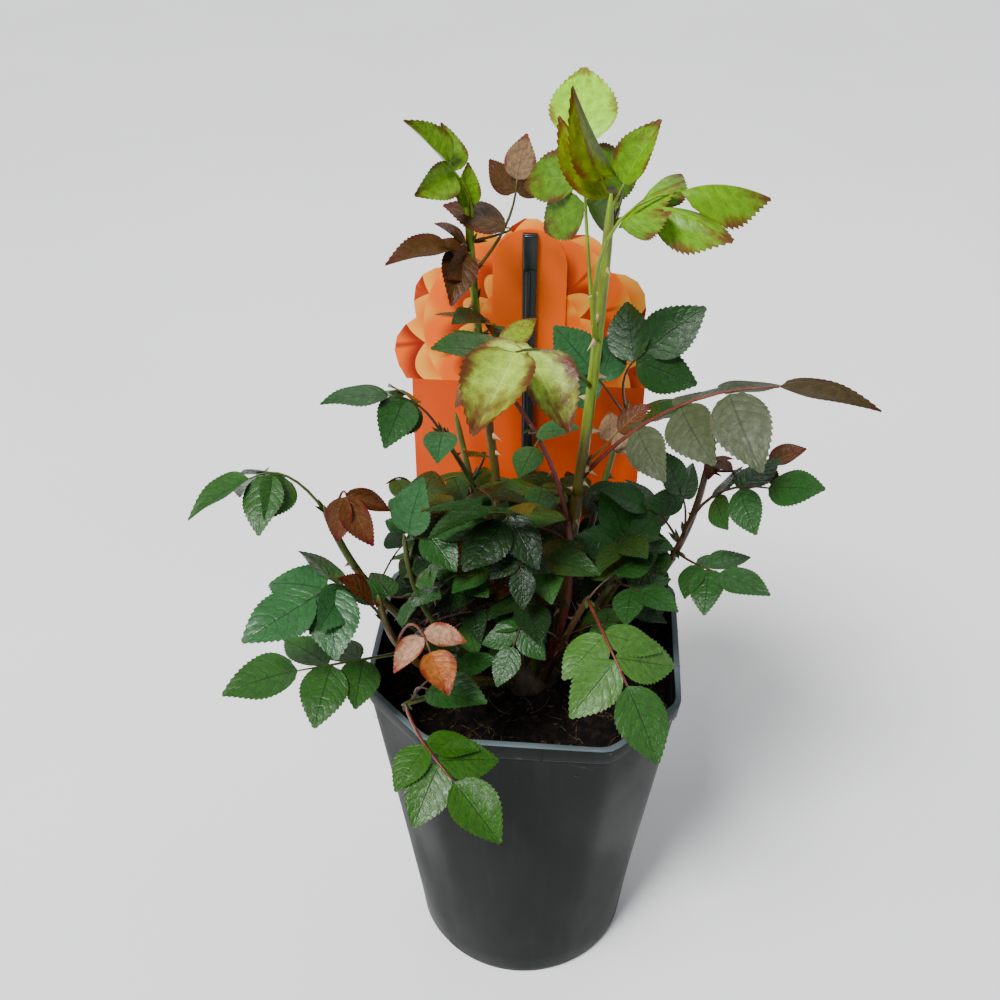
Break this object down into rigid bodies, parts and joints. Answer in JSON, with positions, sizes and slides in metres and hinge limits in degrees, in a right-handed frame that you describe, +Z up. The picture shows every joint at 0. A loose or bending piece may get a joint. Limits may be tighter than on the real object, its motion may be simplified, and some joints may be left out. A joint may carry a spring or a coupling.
{
  "type": "potted rose bush",
  "caption": "Young leafy rose bush in a tall dark plastic pot with cut corners, with a scalloped card label on a stake behind its stems.",
  "frame": {"origin": "middle of the flat underside of the pot", "axes": "+Z up along the pot's axis; +X to the plant's right and +Y to its back, towards the label; one flat side of the pot faces -Y"},
  "size_m": [0.3539, 0.2731, 0.6055],
  "materials": {
    "pot_plastic": "dark grey moulded plastic, lightly scuffed",
    "soil": "moist dark potting mix with bark chips",
    "old_bark": "rough brown bark",
    "bark": "green to olive cane bark with thorns",
    "foliage": "leathery rose leaves, dark green to lime and bronze",
    "label_card": "printed semi-matt plastic card",
    "stake_plastic": "dark green-black plastic"
  },
  "bodies": {
    "root": {"pot": "pot_plastic", "soil": "soil", "crown_stem": "old_bark", "label_card": "label_card", "label_tongue": "label_card", "label_stake": "stake_plastic", "main_cane_bough": "bark", "tall_left_bough": "bark", "red_stem_bough": "bark", "right_cane_bough": "bark", "left_cane_bough": "bark", "left_stem_bough": "bark", "left_twig_bough": "bark", "middle_left_bough": "bark", "centre_twig_bough": "bark", "front_left_bough": "bark", "front_right_bough": "bark", "right_twig_bough": "bark", "front_twig_bough": "bark", "back_right_bough": "bark", "back_left_bough": "bark", "low_right_bough": "bark", "low_left_bough": "bark", "main_cane_leaves": "foliage", "tall_left_leaves": "foliage", "red_stem_leaves": "foliage", "right_cane_leaves": "foliage", "left_cane_leaves": "foliage", "left_stem_leaves": "foliage", "left_twig_leaves": "foliage", "middle_left_leaves": "foliage", "centre_twig_leaves": "foliage", "front_left_leaves": "foliage", "front_right_leaves": "foliage", "right_twig_leaves": "foliage", "front_twig_leaves": "foliage", "back_right_leaves": "foliage", "back_left_leaves": "foliage", "low_right_leaves": "foliage", "low_left_leaves": "foliage"}
  },
  "joints": []
}
